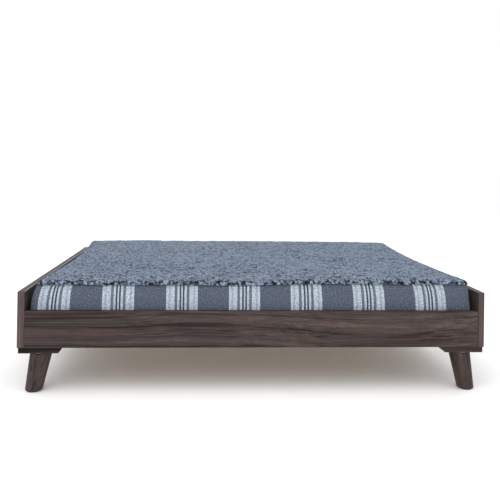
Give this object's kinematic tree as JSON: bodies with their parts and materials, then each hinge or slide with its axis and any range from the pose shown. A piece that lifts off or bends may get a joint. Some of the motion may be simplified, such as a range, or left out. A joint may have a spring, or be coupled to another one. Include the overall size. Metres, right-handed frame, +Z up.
{
  "type": "dog bed with frame",
  "caption": "Low wood-laminate dog bed frame on splayed round legs, with a lift-out foam mattress in a plush-topped, striped, zipped cover.",
  "frame": {"origin": "on the floor, under the middle of the bed", "axes": "+X to the right along the long side, +Z up, front rail towards -Y"},
  "size_m": [1.384, 1.115, 0.327],
  "materials": {
    "frame_boards": "satin dark grey walnut laminate with a fine grain",
    "corner_blocks": "satin dark grey walnut stain",
    "legs": "satin dark grey walnut stain on turned wood",
    "deck_boards": "plain unfinished board",
    "battens": "planed pine",
    "leg_plates": "zinc-plated pressed steel",
    "leg_bolts": "zinc-plated steel",
    "brackets": "zinc-plated pressed steel",
    "cams": "die-cast zinc",
    "studs": "bright steel",
    "glides": "dense black felt",
    "foam": "open-cell foam, cream",
    "plush": "curly plush pile, slate blue with dark and pale flecks",
    "striped_cloth": "heathered woven cloth, slate blue with groups of pale stripes",
    "base_cloth": "plain woven cloth, dark",
    "zip_tape": "woven zip tape with moulded teeth",
    "zip_metal": "nickel-plated die casting"
  },
  "bodies": {
    "frame": {"back_panel": "frame_boards", "beam_bracket_back": "brackets", "beam_bracket_front": "brackets", "cam_back_left_high": "cams", "cam_back_left_low": "cams", "cam_back_right_high": "cams", "cam_back_right_low": "cams", "cam_front_left_high": "cams", "cam_front_left_low": "cams", "cam_front_right_high": "cams", "cam_front_right_low": "cams", "center_beam": "battens", "cleat_back": "battens", "cleat_front": "battens", "cleat_left": "battens", "cleat_right": "battens", "corner_block_back_left": "corner_blocks", "corner_block_back_right": "corner_blocks", "corner_block_front_left": "corner_blocks", "corner_block_front_right": "corner_blocks", "deck_left": "deck_boards", "deck_right": "deck_boards", "foot_glide_back_left": "glides", "foot_glide_back_right": "glides", "foot_glide_front_left": "glides", "foot_glide_front_right": "glides", "front_rail": "frame_boards", "leg_back_left": "legs", "leg_back_right": "legs", "leg_bolt_back_left": "leg_bolts", "leg_bolt_back_right": "leg_bolts", "leg_bolt_front_left": "leg_bolts", "leg_bolt_front_right": "leg_bolts", "leg_front_left": "legs", "leg_front_right": "legs", "leg_plate_back_left": "leg_plates", "leg_plate_back_right": "leg_plates", "leg_plate_front_left": "leg_plates", "leg_plate_front_right": "leg_plates", "side_panel_left": "frame_boards", "side_panel_right": "frame_boards", "stud_back_left_high": "studs", "stud_back_left_low": "studs", "stud_back_right_high": "studs", "stud_back_right_low": "studs", "stud_front_left_high": "studs", "stud_front_left_low": "studs", "stud_front_right_high": "studs", "stud_front_right_low": "studs"},
    "mattress": {"foam_core": "foam", "cover_top": "plush", "cover_sides": "striped_cloth", "cover_base": "base_cloth", "zip_tape": "zip_tape"},
    "slider": {"zip_slider": "zip_metal"},
    "pull": {"zip_pull": "zip_metal"}
  },
  "joints": [
    {"name": "mattress_lift", "type": "slide", "parent": "frame", "child": "mattress", "axis": [0, 0, 1], "range_m": [0, 0.2]},
    {"name": "zip_slide", "type": "slide", "parent": "mattress", "child": "slider", "axis": [-1, 0, 0], "range_m": [0, 1.15]},
    {"name": "pull_swing", "type": "hinge", "parent": "slider", "child": "pull", "pos_m": [0.575, 0.5389, 0.305], "axis": [0, 0, -1], "range_deg": [0, 180]}
  ]
}
